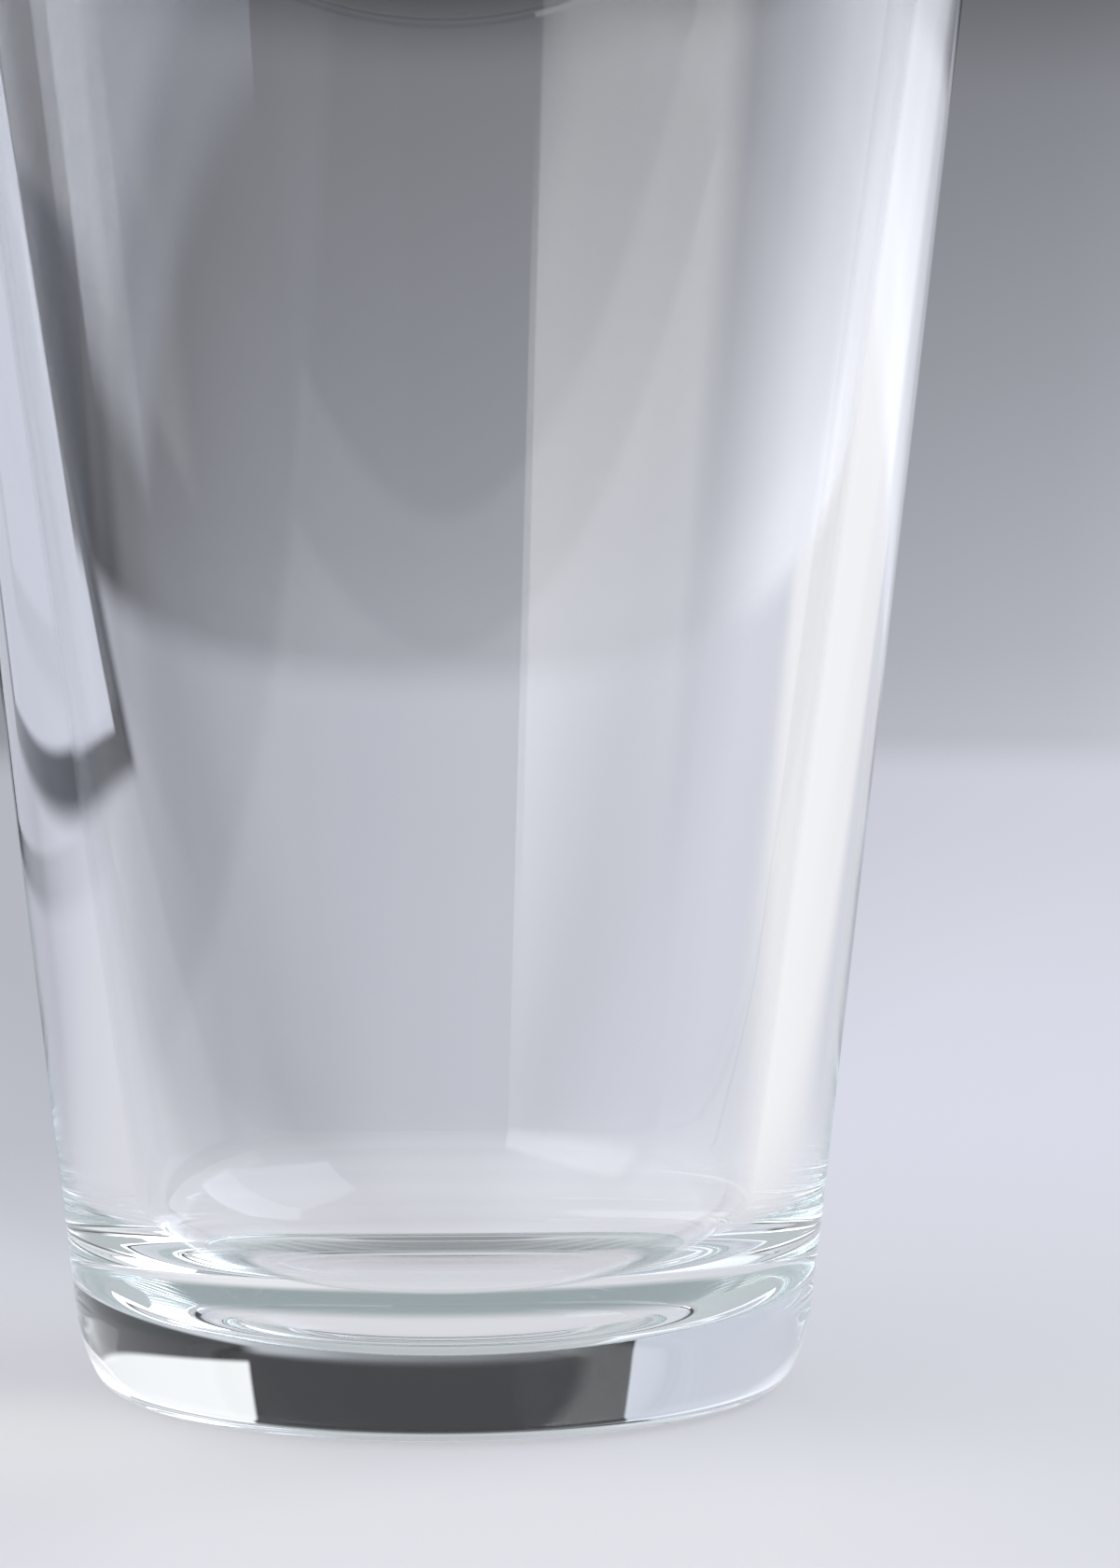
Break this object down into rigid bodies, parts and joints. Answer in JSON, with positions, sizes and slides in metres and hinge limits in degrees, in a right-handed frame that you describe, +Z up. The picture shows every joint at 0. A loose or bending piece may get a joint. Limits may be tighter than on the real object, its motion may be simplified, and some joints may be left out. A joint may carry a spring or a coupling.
{
  "type": "tumbler",
  "caption": "Tapered drinking tumbler of clear glass with a plain rim, a straight wall that thickens downwards, and a heavy base with a dished floor and a heel that curves in to a small rounded edge.",
  "frame": {"origin": "centre of the flat ring that the glass stands on, at the height of the table", "axes": "+Z up along the axis of the glass, towards the rim; the glass is turned about Z, so X and Y are alike"},
  "size_m": [0.0902, 0.0902, 0.146],
  "materials": {
    "clear_glass": "clear pressed soda-lime glass, fire-polished"
  },
  "bodies": {
    "root": {"tumbler_body": "clear_glass"}
  },
  "joints": []
}
